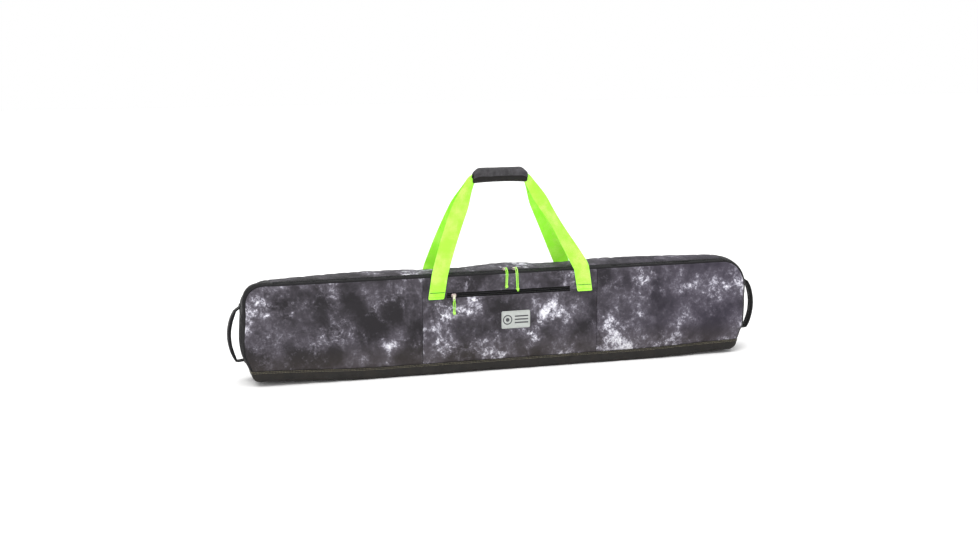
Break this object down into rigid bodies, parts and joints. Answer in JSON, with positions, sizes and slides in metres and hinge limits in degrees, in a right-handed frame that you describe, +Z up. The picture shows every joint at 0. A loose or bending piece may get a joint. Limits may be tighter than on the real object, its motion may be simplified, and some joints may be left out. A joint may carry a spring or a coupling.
{
  "type": "snowboard bag",
  "caption": "Long padded box bag on a boot-shaped base, with a zip-open top strip, a zipped front pocket, a webbing carry handle with a padded grip and a grab loop on each end.",
  "frame": {"origin": "under the middle of the bag, on the surface it stands on", "axes": "+X along the bag to its right end, -Y towards the pocket side, +Z up"},
  "size_m": [1.726, 0.1586, 0.622],
  "materials": {
    "print_fabric": "woven polyester with a cloud print",
    "gusset_fabric": "dark woven polyester",
    "base_fabric": "coated heavy polyester, slight sheen",
    "foam": "closed cell foam",
    "lining": "plain thin lining",
    "zipper_tape": "knitted zipper tape",
    "zipper_coil": "nylon coil",
    "slider_metal": "die cast, satin nickel with a warm tint",
    "tab_metal": "die cast, pale satin",
    "pull_cord": "braided cord, bright green",
    "patch": "soft moulded patch",
    "green_webbing": "polyester webbing, bright green",
    "grip_fabric": "printed fabric with a low sheen",
    "black_webbing": "padded webbing"
  },
  "bodies": {
    "bag_body": {"back_foam": "foam", "back_lining": "lining", "back_panel": "print_fabric", "back_strap_foot_left": "green_webbing", "back_strap_foot_right": "green_webbing", "base_boot": "base_fabric", "base_foam": "foam", "base_lining": "lining", "end_foam_left": "foam", "end_foam_right": "foam", "end_linings": "lining", "end_panel_left": "gusset_fabric", "end_panel_right": "gusset_fabric", "front_foam": "foam", "front_gusset": "gusset_fabric", "front_lining": "lining", "front_panel_left": "print_fabric", "front_panel_right": "print_fabric", "front_patch": "patch", "front_strap_foot_left": "green_webbing", "front_strap_foot_right": "green_webbing", "front_zipper_coil": "zipper_coil", "front_zipper_tape": "zipper_tape", "grab_tabs": "black_webbing", "pocket_backing": "lining", "pocket_panel": "print_fabric", "pocket_top_strip": "print_fabric", "pocket_zipper_coils": "zipper_coil", "pocket_zipper_tapes": "zipper_tape", "zipper_end_stops": "zipper_coil"},
    "lid": {"lid_panel": "print_fabric", "lid_foam": "foam", "lid_lining": "lining", "lid_zipper_tape": "zipper_tape", "lid_zipper_coil": "zipper_coil"},
    "left_slider": {"slider_left": "slider_metal"},
    "left_tab": {"pull_tab_left": "tab_metal", "pull_cord_left": "pull_cord", "pull_knot_left": "pull_cord"},
    "right_slider": {"slider_right": "slider_metal"},
    "right_tab": {"pull_tab_right": "tab_metal", "pull_cord_right": "pull_cord", "pull_knot_right": "pull_cord"},
    "pocket_slider_body": {"pocket_slider": "slider_metal"},
    "pocket_tab": {"pocket_pull_tab": "tab_metal", "pocket_pull_cord": "pull_cord", "pocket_pull_knot": "pull_cord"},
    "carry_handle": {"back_strap": "green_webbing", "front_strap_middle": "green_webbing", "front_strap_leg_left": "green_webbing", "front_strap_leg_right": "green_webbing", "grip_wrap": "grip_fabric", "grip_pad": "foam", "grip_back_layer": "grip_fabric"},
    "grip_cover": {"grip_flap": "grip_fabric"},
    "left_grab": {"grab_loop_left": "black_webbing", "grab_ends_left": "black_webbing"},
    "right_grab": {"grab_loop_right": "black_webbing", "grab_ends_right": "black_webbing"}
  },
  "joints": [
    {"name": "lid_hinge", "type": "hinge", "parent": "bag_body", "child": "lid", "pos_m": [0, 0.0585, 0.308], "axis": [-1, 0, 0], "range_deg": [0, 70]},
    {"name": "left_slider_run", "type": "slide", "parent": "lid", "child": "left_slider", "axis": [-1, 0, 0], "range_m": [0, 0.7]},
    {"name": "left_tab_flip", "type": "hinge", "parent": "left_slider", "child": "left_tab", "pos_m": [-0.016, -0.048, 0.3136], "axis": [-1, 0, 0], "range_deg": [0, 150], "deforming": ["pull_cord_left", "pull_knot_left"]},
    {"name": "right_slider_run", "type": "slide", "parent": "lid", "child": "right_slider", "axis": [1, 0, 0], "range_m": [0, 0.7]},
    {"name": "right_tab_flip", "type": "hinge", "parent": "right_slider", "child": "right_tab", "pos_m": [0.016, -0.048, 0.3136], "axis": [-1, 0, 0], "range_deg": [0, 150], "deforming": ["pull_cord_right", "pull_knot_right"]},
    {"name": "pocket_slider_run", "type": "slide", "parent": "bag_body", "child": "pocket_slider_body", "axis": [1, 0, 0], "range_m": [0, 0.36]},
    {"name": "pocket_tab_flip", "type": "hinge", "parent": "pocket_slider_body", "child": "pocket_tab", "pos_m": [-0.186, -0.0781, 0.243], "axis": [-1, 0, 0], "range_deg": [0, 150], "deforming": ["pocket_pull_cord", "pocket_pull_knot"]},
    {"name": "handle_fold", "type": "hinge", "parent": "bag_body", "child": "carry_handle", "pos_m": [0, 0.0737, 0.3105], "axis": [-1, 0, 0], "range_deg": [-72, 0], "deforming": ["front_strap_leg_left", "front_strap_leg_right"]},
    {"name": "grip_flap_lift", "type": "hinge", "parent": "carry_handle", "child": "grip_cover", "pos_m": [0, 0, 0.622], "axis": [-1, 0, 0], "range_deg": [0, 110]},
    {"name": "left_grab_sway", "type": "hinge", "parent": "bag_body", "child": "left_grab", "pos_m": [-0.828, 0, 0.146], "axis": [0, 0, 1], "range_deg": [-30, 30], "deforming": ["grab_ends_left"]},
    {"name": "right_grab_sway", "type": "hinge", "parent": "bag_body", "child": "right_grab", "pos_m": [0.828, 0, 0.146], "axis": [0, 0, 1], "range_deg": [-30, 30], "deforming": ["grab_ends_right"]}
  ]
}
